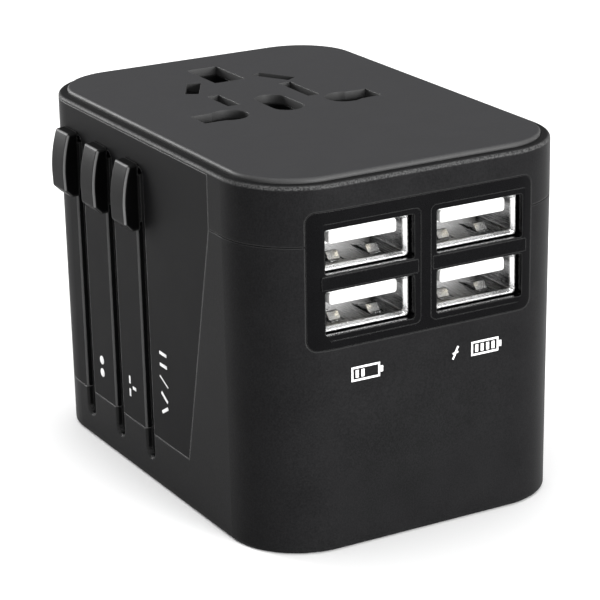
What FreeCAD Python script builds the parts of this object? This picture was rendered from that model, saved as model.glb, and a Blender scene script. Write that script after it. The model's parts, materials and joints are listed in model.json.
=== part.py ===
import FreeCAD, Part
import functools
import math
import os

# Universal travel adapter, in millimetres.
# Origin: centre of the resting (pin) face. +Z up to the socket face, USB face on -Y,
# slider face on -X.

# ---------------------------------------------------------------- driving sizes
BODY_W = 50.6            # across the USB face, X
BODY_D = 71.0            # along the slider face, Y
BODY_H = 53.1            # pin face to socket face, Z
CORNER_R = 11.1          # upright corners of the body
DRAFT = 0.35             # each side wall leans in by this much at the bottom
WALL = 1.8               # wall at the foot of the housing
CAP_H = 9.05             # seam to socket face
SEAM_GAP = 0.12
LIP_T = 0.7              # locating lip inside the seam
LIP_H = 1.2
FIT = 0.05               # clearance of a snug moulded fit
GAP = 0.12               # visible gap round a let-in plate

PLATE_INSET = 1.5        # socket plate edge to body outline
PLATE_R = 9.3
PLATE_T = 1.3
PLATE_PROUD = 0.65       # socket plate above the cap's rim
PLATE_EDGE_R = 0.5
CAP_EDGE_R = 0.65
LEDGE_W = 2.2            # ledge under the let-in plates
LEDGE_T = 1.5
FOOT_EDGE_R = 0.5
PIN_PLATE_T = 1.8

# socket and pin patterns, all about one centre line
PATTERN_X = -1.1
LINE_Y = 0.3             # line and neutral holes of the round and UK patterns
UK_EARTH_RISE = 22.2     # earth pin above the line and neutral pins
UK_HALF = 11.1
EU_HALF = 9.5
US_HALF = 6.35
US_SLOT_Y = 8.0
AUS_HALF = 6.83
AUS_SLOT_Y = 16.75
AUS_ANGLE = 30.0
KEY_R = 2.85             # round part of a keyhole
KEY_END = 14.55          # outer end of a keyhole from the centre line
KEY_FLAT = 4.5
EARTH_SLOT = (5.1, 9.4)
EARTH_SLOT_Y = LINE_Y + 22.15
CENTRE_SLOT = (4.8, 9.8)
CENTRE_SLOT_Y = 2.7

# sliders
SLOT_Y = {"eu": 20.5, "uk": 10.4, "us": 0.35}
SLOT_W = 2.4
SLOT_FOOT = 3.6          # rounded lower end of the slot groove
SLOT_DEEP_FOOT = 8.0     # below this the groove is blind
SLOT_DROP = 5.5          # socket face down to the slots' upper end
SLOT_BEVEL = 0.24        # bevel round the grooves in the housing
PANEL_BEVEL = 0.2        # bevel round the slots in the panel
SLOT_GROOVE = 0.9        # depth of the blind foot
TRAVEL = 30.0
KNOB_W = 4.5
KNOB_EDGE = 0.15         # knob's front side past the slot centre
KNOB_DROP = 4.9          # socket face down to the knob's top
KNOB_H = 9.85
KNOB_PROUD = 2.45
KNOB_TOP_PROUD = 1.45
KNOB_GAP = 0.12          # knob to panel
KNOB_ROUND = 0.38
STEM_W = 1.1
STEM_DROP = 1.0          # slot's upper end down to the stem's top
STEM_H = 7.0
GUIDE_T = 0.6
GUIDE_FOOT = 27.5        # guide strip shows inside the UK and US slots above this

# slider-side panel outline (Y, Z)
PANEL_T = 1.0
PANEL_FRONT_Y = -20.65
PANEL_TOE_Y = -12.1
PANEL_BACK_Y = 27.2
PANEL_LOW = 7.6

# USB fascia and ports
FASCIA_X = -0.6
FASCIA_W = 35.4
FASCIA_DROP = 4.4        # socket face down to the fascia's top
FASCIA_H = 19.3
FASCIA_R = 1.5
FASCIA_FLANGE = 0.8
FASCIA_STEP = 0.15       # depth of the shallow frame round each port column
PORT_W = 13.9
PORT_H = 6.2
PORT_SHIFT_X = 0.5       # port columns from the fascia's middle
PORT_PITCH_X = 17.42
PORT_PITCH_Z = 8.55
PORT_DROP = 9.95         # fascia's top down to the middle between the two rows
PORT_RECESS = 1.35
SHELL_W = 13.3
SHELL_H = 5.8
SHELL_T = 0.3
SHELL_L = 12.2
THROAT = (12.2, 4.7)     # inside the shell's rolled front lip
THROAT_L = 0.75
MOUTH_FLARE = 0.35
MOUTH_L = 0.45
TAB_X = 3.1              # spring tabs from the port's middle
TAB_W = 1.8
TAB_GAP = 0.3
TONGUE_W = 10.5
TONGUE_T = 1.85
TONGUE_DROP = 0.32       # shell's roof down to the tongue
CONTACT_X = (-3.5, -1.0, 1.0, 3.5)
CONTACT_W = 1.0
BOARD_T = 1.2

# pins
EU_PIN_R = 2.0
EU_EXPOSED = 19.0
UK_PIN = (6.35, 4.0)
UK_EARTH = (4.0, 8.0)
UK_EXPOSED = 17.7
UK_EARTH_EXPOSED = 22.7
US_BLADE = (1.6, 6.35)
US_EXPOSED = 16.5
SLEEVE_T = 0.5           # pin's surface down to the core under the sleeve
SLEEVE_L = 9.0
EU_SLEEVE_R = 1.8        # sleeves are a little slimmer than the bare tips
UK_SLEEVE_IN = 0.05
PIN_CLEAR = 0.35         # holes in the pin face round the pins

# carriages
CARRIAGE_LOW = TRAVEL + PIN_PLATE_T + 0.5
CARRIAGE_T = 4.2
FINGER_T = 1.6
RISER_T = 2.9
PIVOT_R = 1.4
FUSE_R = 1.8
RUN = 0.05               # radial running clearance of the blade pivots
US_BAR_Y = (-6.5, -2.6)

# screws and posts
POST_R = 2.6
SCREW_R = 1.0
SCREW_HEAD_R = 1.9
SCREW_HEAD_T = 1.5
SCREW_BITE = 5.2         # thread length in the cap's posts
SCREW_INSET_X = 5.8
SCREW_INSET_Y = 6.0

# socket insert, shutter and contact block
INSERT_HALF_X = 17.0
INSERT_FRONT = -16.0
INSERT_BACK = 28.9
INSERT_DEPTH = 2.1       # ledge down to the insert's underside
SHUTTER_T = 1.4
SHUTTER_TRAVEL = 6.2
SHUTTER_CLEAR = 0.15
SPRING_R = 0.5
SPRING_WIRE_R = 0.13
SPRING_TURNS = 6
BLOCK_WALL = 1.2
SIDE_CAVITY = (4.2, 15.7)        # from the centre line
SIDE_CAVITY_Y = (-2.6, 20.6)
EARTH_CAVITY = 2.9
EARTH_CAVITY_Y = (-2.9, 27.4)
LEAF_T = 0.4
BUS_Y = {"back": 14.4, "front": 5.4}
BUS_T = 0.5
BUS_FOOT = 4.0
EARTH_LINK_RISE = 2.1    # block's underside up to the earth link
EARTH_LINK_T = 0.5
EARTH_LINK_HALF = 1.5

# charger parts on the board (X from the body's middle, Z from the pin face)
CORE_X = (-12.5, 3.5)
CORE_Z = (7.0, 21.0)
COIL_GAP = 0.2           # winding to the front wall
COIL_BULGE = 0.7         # winding stands this far in front of the core
CORE_LEG = 2.4
CORE_WINDOW = 3.2
INPUT_CAN = (4.0, 10.5, 10.5, 12.0)          # radius, length, x, z
OUTPUT_CAN = (2.5, 8.0)
OUTPUT_CAN_X = (-12.0, -5.5, 1.0)
OUTPUT_CAN_Z = 24.8
CHIP_X = (8.0, 13.0)
CHIP_Z = (20.5, 24.5)
CHIP_T = 1.5
FUSE_Y = -7.0
FUSE_Z = 22.0
FUSE_L = 14.2
FUSE_CAP_L = 3.2

# worked-out values
SEAM_Z = BODY_H - CAP_H
SLOT_HEAD = BODY_H - SLOT_DROP
KNOB_HIGH = BODY_H - KNOB_DROP
KNOB_LOW = KNOB_HIGH - KNOB_H
STEM_HIGH = SLOT_HEAD - STEM_DROP
STEM_LOW = STEM_HIGH - STEM_H
FASCIA_HIGH = BODY_H - FASCIA_DROP
FASCIA_LOW = FASCIA_HIGH - FASCIA_H
PORT_Z = FASCIA_HIGH - PORT_DROP
SCREW_TIP = SEAM_Z + SCREW_BITE
CAP_TOP = BODY_H - PLATE_PROUD
PANEL_HIGH = CAP_TOP - CAP_EDGE_R - 0.05
PLATE_LOW = BODY_H - PLATE_T
LEDGE_LOW = PLATE_LOW - LEDGE_T
CAVITY_X = BODY_W / 2 - DRAFT - WALL
CAVITY_Y = BODY_D / 2 - DRAFT - WALL
CAVITY_R = CORNER_R - WALL
WINDOW_X = BODY_W / 2 - PLATE_INSET - LEDGE_W
WINDOW_Y = BODY_D / 2 - PLATE_INSET - LEDGE_W
WINDOW_R = PLATE_R - LEDGE_W
FACE_Y = -BODY_D / 2
FACE_X = -BODY_W / 2
CARRIAGE_HIGH = CARRIAGE_LOW + CARRIAGE_T
SHELL_FRONT = FACE_Y + PORT_RECESS
SHELL_BACK = SHELL_FRONT + SHELL_L
BOARD_FRONT = SHELL_BACK
BOARD_BACK = BOARD_FRONT + BOARD_T
RISER_X1 = -CAVITY_X + GUIDE_T + 0.2
RISER_X2 = RISER_X1 + RISER_T
UK_FOOT_Y = SLOT_Y["uk"] - UK_EARTH_RISE
INSERT_LOW = LEDGE_LOW - INSERT_DEPTH
INSERT_Y = (INSERT_FRONT + INSERT_BACK) / 2
INSERT_HALF_Y = (INSERT_BACK - INSERT_FRONT) / 2
BLOCK_LOW = CARRIAGE_HIGH + 0.4
SHUTTER_HIGH = INSERT_LOW - SHUTTER_CLEAR
SHUTTER_LOW = SHUTTER_HIGH - SHUTTER_T
BLOCK_HIGH = SHUTTER_LOW - SHUTTER_CLEAR
LEAF_LOW = BLOCK_LOW + 0.3
LEAF_HIGH = BLOCK_HIGH - 0.5
EARTH_BUS_Y = UK_FOOT_Y - UK_EARTH[1] / 2 - 1.6
EARTH_LINK_LOW = BLOCK_LOW + EARTH_LINK_RISE
EARTH_LINK_HIGH = EARTH_LINK_LOW + EARTH_LINK_T
WIPER_HIGH = CARRIAGE_HIGH - 0.8
WIPER_LOW = WIPER_HIGH - 1.4
RIB_X = FASCIA_X + PORT_SHIFT_X

os.makedirs("parts", exist_ok=True)


# ---------------------------------------------------------------- helpers
def vec(x, y, z):
    return FreeCAD.Vector(x, y, z)


def box(x0, x1, y0, y1, z0, z1):
    return Part.makeBox(x1 - x0, y1 - y0, z1 - z0, vec(x0, y0, z0))


def rod(radius, x, y, z0, z1):
    return Part.makeCylinder(radius, z1 - z0, vec(x, y, z0))


def corner_arc(cx, cy, r, z, a0):
    pts = []
    for a in (a0, a0 + 45, a0 + 90):
        t = math.radians(a)
        pts.append(vec(cx + r * math.cos(t), cy + r * math.sin(t), z))
    return Part.Arc(*pts).toShape()


def rounded_wire(half_x, half_y, r, z, cx=0.0, cy=0.0):
    """Closed outline of a rectangle with rounded corners, at height z."""
    ix = half_x - r
    iy = half_y - r
    sides = []
    for sx, sy, a0 in ((1, 1, 0), (-1, 1, 90), (-1, -1, 180), (1, -1, 270)):
        sides.append(corner_arc(cx + sx * ix, cy + sy * iy, r, z, a0))
    edges = []
    for here, after in zip(sides, sides[1:] + sides[:1]):
        edges.append(here)
        a = here.Vertexes[1].Point
        b = after.Vertexes[0].Point
        if (a - b).Length > 1e-6:
            edges.append(Part.makeLine(a, b))
    return Part.Wire(edges)


def rounded_prism(half_x, half_y, r, z0, z1, cx=0.0, cy=0.0):
    face = Part.Face(rounded_wire(half_x, half_y, r, z0, cx, cy))
    return face.extrude(vec(0, 0, z1 - z0))


def outline_prism(points, axis, start, depth):
    """Prism on a closed straight outline. axis is the one it is pushed along."""
    place = {"x": lambda a, b: vec(start, a, b),
             "y": lambda a, b: vec(a, start, b),
             "z": lambda a, b: vec(a, b, start)}[axis]
    push = {"x": vec(depth, 0, 0), "y": vec(0, depth, 0), "z": vec(0, 0, depth)}[axis]
    pts = [place(a, b) for a, b in points]
    return Part.Face(Part.makePolygon(pts + pts[:1])).extrude(push)


def turned_box(size_x, size_y, x, y, z0, z1, angle):
    s = box(x - size_x / 2, x + size_x / 2, y - size_y / 2, y + size_y / 2, z0, z1)
    s.rotate(vec(x, y, 0), vec(0, 0, 1), angle)
    return s


def joined(shapes):
    s = shapes[0]
    if len(shapes) > 1:
        s = s.fuse(shapes[1:])
    return s.removeSplitter()


def edge_fillet(shape, radius, wanted):
    edges = [e for e in shape.Edges if wanted(e)]
    return shape.makeFillet(radius, edges)


def flat_at(edge, z):
    return abs(edge.BoundBox.ZMin - z) < 1e-3 and abs(edge.BoundBox.ZMax - z) < 1e-3


def upright(edge):
    b = edge.BoundBox
    return b.ZLength > 0.5 and b.XLength < 1e-3 and b.YLength < 1e-3


def save(name, shape):
    if shape.ShapeType == "Compound" and len(shape.Solids) == 1:
        shape = shape.Solids[0]
    shape.exportStep("parts/" + name + ".step")


def save_group(name, shapes):
    Part.makeCompound(shapes).exportStep("parts/" + name + ".step")


# ---------------------------------------------------------------- outer form
def leaning_part(half_x, half_y, r):
    """Solid with flat leaning sides and conical corners, from the foot to the seam."""
    ix = half_x - r
    iy = half_y - r
    across = [(-half_x + DRAFT, 0), (half_x - DRAFT, 0), (half_x, SEAM_Z), (-half_x, SEAM_Z)]
    along = [(-half_y + DRAFT, 0), (half_y - DRAFT, 0), (half_y, SEAM_Z), (-half_y, SEAM_Z)]
    pieces = [outline_prism(across, "y", -iy, 2 * iy), outline_prism(along, "x", -ix, 2 * ix)]
    for sx in (-1, 1):
        for sy in (-1, 1):
            pieces.append(Part.makeCone(r - DRAFT, r, SEAM_Z, vec(sx * ix, sy * iy, 0)))
    return joined(pieces)


def outer_form(z0, z1, shrink=0.0):
    """The body's outer form from z0 to z1: leaning walls below the seam, upright above."""
    half_x = BODY_W / 2 - shrink
    half_y = BODY_D / 2 - shrink
    r = CORNER_R - shrink
    pieces = []
    if z0 < SEAM_Z:
        pieces.append(leaning_part(half_x, half_y, r))
    if z1 > SEAM_Z:
        pieces.append(rounded_prism(half_x, half_y, r, SEAM_Z, BODY_H))
    whole = pieces[0] if len(pieces) == 1 else pieces[0].fuse(pieces[1])
    slab = box(-BODY_W, BODY_W, -BODY_D, BODY_D, z0, z1)
    return whole.common(slab)


def cavity(z0, z1):
    return rounded_prism(CAVITY_X, CAVITY_Y, CAVITY_R, z0, z1)


def panel_prism(grow):
    pts = [(PANEL_FRONT_Y - grow, PANEL_HIGH + grow),
           (PANEL_FRONT_Y - grow, SEAM_Z - 0.25),
           (PANEL_TOE_Y - grow, PANEL_LOW - grow),
           (PANEL_BACK_Y + grow, PANEL_LOW - grow),
           (PANEL_BACK_Y + grow, PANEL_HIGH + grow)]
    return outline_prism(pts, "x", FACE_X - 2, BODY_W / 4)


def fascia_prism(grow, y0, y1):
    cz = (FASCIA_LOW + FASCIA_HIGH) / 2
    half_z = (FASCIA_HIGH - FASCIA_LOW) / 2 + grow
    s = rounded_prism(FASCIA_W / 2 + grow, half_z, FASCIA_R + grow, 0, y1 - y0)
    s.rotate(vec(0, 0, 0), vec(1, 0, 0), 90)
    s.translate(vec(FASCIA_X, y1, cz))
    return s


def slot_tool(y, z0, z1, width, x0, x1):
    """Upright slot with round ends, cut along X."""
    r = width / 2
    mid = box(x0, x1, y - r, y + r, z0 + r, z1 - r)
    ends = []
    for z in (z0 + r, z1 - r):
        ends.append(Part.makeCylinder(r, x1 - x0, vec(x0, y, z), vec(1, 0, 0)))
    return mid.fuse(ends)


def slot_through(y):
    """The part of a slot that goes right through the wall, with a square foot."""
    r = SLOT_W / 2
    head = Part.makeCylinder(r, WALL + 3, vec(FACE_X - 1, y, SLOT_HEAD - r), vec(1, 0, 0))
    return box(FACE_X - 1, FACE_X + WALL + 2, y - r, y + r, SLOT_DEEP_FOOT, SLOT_HEAD - r).fuse(head)


def slot_chamfer(y, z0, z1, size):
    """Small bevel round a slot's outer edge, following the leaning wall."""
    tools = []
    for k in range(3):
        grow = size * (3 - k) / 3
        depth = size * (k + 1) / 3
        tool = slot_tool(y, z0 - grow, z1 + grow, SLOT_W + 2 * grow, FACE_X - 1, FACE_X + 3)
        tools.append(tool.common(wall_skin(depth)))
    return tools


@functools.lru_cache(maxsize=None)
def wall_skin(depth):
    """The outermost layer of the body, depth thick."""
    return outer_form(0, BODY_H).cut(outer_form(0, BODY_H, depth))


# ---------------------------------------------------------------- socket pattern
def keyhole(side, grow, z0, z1):
    r = KEY_R + grow
    flat = KEY_FLAT / 2 + grow
    end = KEY_END + grow
    blend = EU_HALF + KEY_R
    tangent = 0.55 * r
    high = math.sqrt(r * r - tangent * tangent)
    pts = [(EU_HALF + tangent, high), (blend, flat), (end, flat),
           (end, -flat), (blend, -flat), (EU_HALF + tangent, -high)]
    pts = [(PATTERN_X + side * x, LINE_Y + y) for x, y in pts]
    tail = outline_prism(pts, "z", z0, z1 - z0)
    return tail.fuse(rod(r, PATTERN_X + side * EU_HALF, LINE_Y, z0, z1)).removeSplitter()


def socket_holes(grow, z0, z1):
    """Every hole of the socket face, grown by grow on each side."""
    g2 = 2 * grow
    tools = [keyhole(-1, grow, z0, z1), keyhole(1, grow, z0, z1)]
    w, d = EARTH_SLOT
    tools.append(rounded_prism(w / 2 + grow, d / 2 + grow, 0.3, z0, z1, PATTERN_X, EARTH_SLOT_Y))
    w, d = CENTRE_SLOT
    round_r = w / 2 + grow - 1e-3
    tools.append(rounded_prism(w / 2 + grow, d / 2 + grow, round_r, z0, z1,
                               PATTERN_X, CENTRE_SLOT_Y))
    for side, length in ((-1, 6.6), (1, 8.9)):
        tools.append(turned_box(1.95 + g2, length + g2, PATTERN_X + side * US_HALF,
                                US_SLOT_Y, z0, z1, 0))
        tools.append(turned_box(2.05 + g2, 6.5 + g2, PATTERN_X + side * AUS_HALF,
                                AUS_SLOT_Y, z0, z1, side * AUS_ANGLE))
    return tools


# ---------------------------------------------------------------- shells
def make_upper_cap():
    s = outer_form(SEAM_Z + SEAM_GAP / 2, CAP_TOP)
    s = edge_fillet(s, CAP_EDGE_R, lambda e: flat_at(e, CAP_TOP))
    s = s.cut(cavity(SEAM_Z - 1, LEDGE_LOW))
    s = s.cut(rounded_prism(WINDOW_X, WINDOW_Y, WINDOW_R, LEDGE_LOW - 1, BODY_H))
    pocket_x = BODY_W / 2 - PLATE_INSET + GAP
    pocket_y = BODY_D / 2 - PLATE_INSET + GAP
    s = s.cut(rounded_prism(pocket_x, pocket_y, PLATE_R + GAP, PLATE_LOW, BODY_H))
    lip = seam_lip(FIT, SEAM_Z - 1, SEAM_Z + LIP_H + GAP)
    s = s.cut(lip)
    s = s.cut(panel_prism(GAP / 2).common(wall_skin(PANEL_T)))
    s = s.cut(fascia_prism(GAP / 2, FACE_Y - 1, FACE_Y + 6))
    for y in SLOT_Y.values():
        s = s.cut(slot_through(y))
    posts = []
    for x, y in screw_places():
        post = rod(POST_R, x, y, SEAM_Z + SEAM_GAP / 2, LEDGE_LOW + 0.2)
        posts.append(post.cut([lip, rod(SCREW_R, x, y, SEAM_Z - 1, SCREW_TIP)]))
    return joined([s] + posts)


def seam_lip(grow, z0, z1):
    half_x = CAVITY_X + LIP_T + grow
    half_y = CAVITY_Y + LIP_T + grow
    outer = rounded_prism(half_x, half_y, CAVITY_R + LIP_T + grow, z0, z1)
    return outer.cut(cavity(z0 - 1, z1 + 1))


def screw_places():
    x = BODY_W / 2 - SCREW_INSET_X
    y = BODY_D / 2 - SCREW_INSET_Y
    return [(sx * x, sy * y) for sx in (-1, 1) for sy in (-1, 1)]


def make_lower_housing():
    s = outer_form(0, SEAM_Z - SEAM_GAP / 2)
    s = edge_fillet(s, FOOT_EDGE_R, lambda e: flat_at(e, 0))
    s = s.cut(cavity(PIN_PLATE_T + LEDGE_T, SEAM_Z + 1))
    s = s.cut(rounded_prism(WINDOW_X, WINDOW_Y, WINDOW_R, -1, PIN_PLATE_T + LEDGE_T + 1))
    pocket_x = BODY_W / 2 - PLATE_INSET + GAP
    pocket_y = BODY_D / 2 - PLATE_INSET + GAP
    s = s.cut(rounded_prism(pocket_x, pocket_y, PLATE_R + GAP, -1, PIN_PLATE_T))
    s = s.fuse(seam_lip(0, SEAM_Z - 1.5, SEAM_Z + LIP_H))
    s = s.cut(panel_prism(GAP / 2).common(wall_skin(PANEL_T)))
    s = s.cut(fascia_prism(GAP / 2, FACE_Y - 1, FACE_Y + 6))
    for y in SLOT_Y.values():
        s = s.cut(slot_through(y))
        groove = slot_tool(y, SLOT_FOOT, SLOT_HEAD, SLOT_W, FACE_X - 1, FACE_X + 3)
        s = s.cut(groove.common(wall_skin(SLOT_GROOVE)))
        for bevel in slot_chamfer(y, SLOT_FOOT, SLOT_HEAD, SLOT_BEVEL):
            s = s.cut(bevel)
    posts = []
    for x, y in screw_places():
        post = rod(POST_R, x, y, PIN_PLATE_T, SEAM_Z - SEAM_GAP / 2)
        post = post.cut(rod(SCREW_R + 0.2, x, y, 0, SEAM_Z + 1))
        posts.append(post.cut(rod(SCREW_HEAD_R + 0.2, x, y, 0, PIN_PLATE_T + SCREW_HEAD_T + 0.2)))
    s = joined([s] + posts)
    for x, y in screw_places():
        s = s.cut(rod(SCREW_HEAD_R + 0.2, x, y, 0, PIN_PLATE_T + SCREW_HEAD_T + 0.2))
    return s


def make_housing_screws():
    screws = []
    for x, y in screw_places():
        z = PIN_PLATE_T + 0.2
        head = rod(SCREW_HEAD_R, x, y, z, z + SCREW_HEAD_T)
        shank = rod(SCREW_R, x, y, z + SCREW_HEAD_T, SCREW_TIP - 0.3)
        cross = joined([box(x - 1.1, x + 1.1, y - 0.2, y + 0.2, z, z + 0.8),
                        box(x - 0.2, x + 0.2, y - 1.1, y + 1.1, z, z + 0.8)])
        screws.append(joined([head, shank]).cut(cross))
    return screws


def make_socket_plate():
    half_x = BODY_W / 2 - PLATE_INSET
    half_y = BODY_D / 2 - PLATE_INSET
    s = rounded_prism(half_x, half_y, PLATE_R, PLATE_LOW, BODY_H)
    s = edge_fillet(s, PLATE_EDGE_R, lambda e: flat_at(e, BODY_H))
    return s.cut(socket_holes(0, PLATE_LOW - 1, BODY_H + 1))


def make_pin_face_plate():
    half_x = BODY_W / 2 - PLATE_INSET
    half_y = BODY_D / 2 - PLATE_INSET
    s = rounded_prism(half_x, half_y, PLATE_R, 0, PIN_PLATE_T)
    s = edge_fillet(s, 0.25, lambda e: flat_at(e, 0))
    tools = []
    clear = PIN_CLEAR
    for side in (-1, 1):
        tools.append(rod(EU_PIN_R + clear, PATTERN_X + side * EU_HALF, SLOT_Y["eu"], -1, 3))
        tools.append(turned_box(UK_PIN[0] + 2 * clear, UK_PIN[1] + 2 * clear,
                                PATTERN_X + side * UK_HALF, SLOT_Y["uk"], -1, 3, 0))
        x = PATTERN_X + side * US_HALF
        for angle in (0, side * AUS_ANGLE):
            tools.append(turned_box(US_BLADE[0] + 2 * clear, US_BLADE[1] + 2 * clear,
                                    x, SLOT_Y["us"], -1, 3, angle))
        tools.append(blade_fan(x, side, clear))
    tools.append(turned_box(UK_EARTH[0] + 2 * clear, UK_EARTH[1] + 2 * clear,
                            PATTERN_X, UK_FOOT_Y, -1, 3, 0))
    return s.cut(tools)


def blade_fan(x, side, clear):
    """The two sectors that a blade's ends sweep between its two settings."""
    r = math.hypot(US_BLADE[0] / 2, US_BLADE[1] / 2) + clear
    disc = rod(r, x, SLOT_Y["us"], -1, 3)
    keep = []
    reach = 2 * r
    t = math.radians(AUS_ANGLE)
    ends = [(0.0, reach), (-side * reach * math.sin(t), reach * math.cos(t))]
    for sign in (-1, 1):
        pts = [(x, SLOT_Y["us"])]
        pts += [(x + sign * a, SLOT_Y["us"] + sign * b) for a, b in ends]
        keep.append(outline_prism(pts, "z", -1, 4))
    return disc.common(keep[0].fuse(keep[1]))


def outer_x(z):
    """Outer surface of the slider side at height z."""
    lean = DRAFT * (1 - z / SEAM_Z)
    return FACE_X + max(lean, 0.0)


def on_slot_rim(edge):
    """True for the outer edges of the slots cut through the slider-side panel."""
    middle = edge.valueAt((edge.FirstParameter + edge.LastParameter) / 2)
    if abs(middle.x - outer_x(middle.z)) > 2e-3:
        return False
    if abs(edge.Vertexes[0].Point.x - outer_x(edge.Vertexes[0].Point.z)) > 2e-3:
        return False
    b = edge.BoundBox
    centre = (b.YMin + b.YMax) / 2
    if abs(b.ZMin - SEAM_Z) < 1e-2 and abs(b.ZMax - SEAM_Z) < 1e-2:
        return False
    beside = min(abs(centre - y) for y in SLOT_Y.values())
    return beside < SLOT_W / 2 + 0.05 and b.YLength < SLOT_W + 0.01


def make_slider_side_panel():
    s = panel_prism(0).common(wall_skin(PANEL_T))
    for y in SLOT_Y.values():
        s = s.cut(slot_tool(y, SLOT_FOOT, SLOT_HEAD, SLOT_W, FACE_X - 1, FACE_X + 4))
    s = s.removeSplitter()
    return s.makeChamfer(PANEL_BEVEL, [e for e in s.Edges if on_slot_rim(e)])


def make_slider_guide():
    """Strip behind the slots, with a narrower track for each stem."""
    y0 = SLOT_Y["us"] - 6.0
    y1 = SLOT_Y["eu"] + 4.0
    s = box(-CAVITY_X, -CAVITY_X + GUIDE_T, y0, y1, PIN_PLATE_T + LEDGE_T + 0.6, LEDGE_LOW - 0.4)
    for name, y in SLOT_Y.items():
        stem = stem_centre(name)
        edge = y + SLOT_W / 2 + 0.1
        near = stem - STEM_W / 2 - 0.15
        s = s.cut(box(-CAVITY_X - 1, -CAVITY_X + 1, near, edge, SLOT_DEEP_FOOT, SLOT_HEAD))
        if name != "eu":
            low = [(y - SLOT_W / 2 - 0.1, SLOT_DEEP_FOOT), (edge, SLOT_DEEP_FOOT),
                   (edge, GUIDE_FOOT + 0.9), (near, GUIDE_FOOT + 0.9),
                   (y - SLOT_W / 2 - 0.1, GUIDE_FOOT - 0.3)]
            s = s.cut(outline_prism(low, "x", -CAVITY_X - 1, 2))
    return s.common(cavity(0, BODY_H))


def stem_centre(name):
    return SLOT_Y[name] + SLOT_W / 2 - STEM_W / 2 - 0.15


# ---------------------------------------------------------------- USB side
def port_places():
    places = []
    for row in (1, -1):
        for col in (-1, 1):
            places.append((RIB_X + col * PORT_PITCH_X / 2, PORT_Z + row * PORT_PITCH_Z / 2))
    return places


def port_box(x, z, w, h, y0, y1, r):
    s = rounded_prism(w / 2, h / 2, r, 0, y1 - y0)
    s.rotate(vec(0, 0, 0), vec(1, 0, 0), 90)
    s.translate(vec(x, y1, z))
    return s


def make_usb_fascia():
    skin = outer_form(FASCIA_LOW - 2, FASCIA_HIGH + 2)
    front = fascia_prism(0, FACE_Y - 1, -CAVITY_Y).common(skin)
    flange = fascia_prism(0.7, -CAVITY_Y, -CAVITY_Y + FASCIA_FLANGE).common(cavity(0, BODY_H))
    s = joined([front, flange])
    columns = {x for x, z in port_places()}
    for x in columns:
        pocket = port_box(x, PORT_Z, PORT_W + 1.9, PORT_PITCH_Z + PORT_H + 1.6,
                          FACE_Y - 1, FACE_Y + FASCIA_STEP, 0.9)
        s = s.cut(pocket)
        bar = port_box(x, PORT_Z, PORT_W + 1.2, PORT_PITCH_Z - PORT_H - 0.5,
                       FACE_Y + FASCIA_STEP / 2, FACE_Y + FASCIA_STEP, 0.2)
        s = joined([s, bar])
    for x, z in port_places():
        s = s.cut(port_box(x, z, PORT_W, PORT_H, FACE_Y - 1, -CAVITY_Y + 3, 0.35))
    return s


def make_usb_shell(x, z):
    y0 = SHELL_FRONT
    y1 = SHELL_BACK
    s = port_box(x, z, SHELL_W, SHELL_H, y0, y1, 0.5)
    s = s.cut(port_box(x, z, SHELL_W - 2 * SHELL_T, SHELL_H - 2 * SHELL_T,
                       y0 + THROAT_L, y1 - SHELL_T, 0.25))
    s = s.cut(port_box(x, z, THROAT[0], THROAT[1], y0 - 1, y0 + THROAT_L + 1, 0.25))
    s = s.cut(shell_mouth(x, z))
    windows = []
    half = TAB_W / 2 + TAB_GAP
    for side in (-1, 1):
        wx = x + side * TAB_X
        for face in (-1, 1):
            wz = z + face * SHELL_H / 2
            for edge in (-1, 1):
                near = wx + edge * TAB_W / 2
                far = wx + edge * half
                windows.append(box(min(near, far), max(near, far),
                                   y0 + 2.2, y0 + 7.2, wz - 0.5, wz + 0.5))
            windows.append(box(wx - half, wx + half, y0 + 2.2, y0 + 2.5, wz - 0.5, wz + 0.5))
    s = s.cut(windows)
    tabs = []
    for side in (-1, 1):
        wx = x + side * TAB_X
        base = z - SHELL_H / 2
        tab = [(y0 + 3.0, base + SHELL_T), (y0 + 3.8, base + 1.2), (y0 + 4.3, base + 1.2),
               (y0 + 7.0, base + SHELL_T), (y0 + 7.0, base + 0.05), (y0 + 3.0, base + 0.05)]
        tabs.append(outline_prism(tab, "x", wx - TAB_W / 2, TAB_W))
    return joined([s] + tabs)


def shell_mouth(x, z):
    """Funnel that opens the shell's front lip outwards."""
    wide_x = THROAT[0] / 2 + MOUTH_FLARE
    wide_z = THROAT[1] / 2 + MOUTH_FLARE
    wide = rounded_wire(wide_x, wide_z, 0.25 + MOUTH_FLARE, MOUTH_L)
    tight = rounded_wire(THROAT[0] / 2, THROAT[1] / 2, 0.25, 0)
    s = Part.makeLoft([tight, wide], True, True)
    s.rotate(vec(0, 0, 0), vec(1, 0, 0), 90)
    s.translate(vec(x, SHELL_FRONT + MOUTH_L, z))
    return s


def make_usb_tongue(x, z):
    top = z + SHELL_H / 2 - SHELL_T - TONGUE_DROP
    y0 = SHELL_FRONT + 0.55
    back = SHELL_BACK - SHELL_T
    blade = box(x - TONGUE_W / 2, x + TONGUE_W / 2, y0, back - 2.5, top - TONGUE_T, top)
    blade = edge_fillet(blade, 0.4, lambda e: e.BoundBox.YLength > 1)
    blade = blade.makeChamfer(0.2, [e for e in blade.Edges
                                    if abs(e.BoundBox.YMax - y0) < 1e-3])
    root = port_box(x, z, SHELL_W - 2 * SHELL_T, SHELL_H - 2 * SHELL_T, back - 2.5, back, 0.25)
    s = joined([blade, root])
    return s.cut(contact_strips(x, z))


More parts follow.
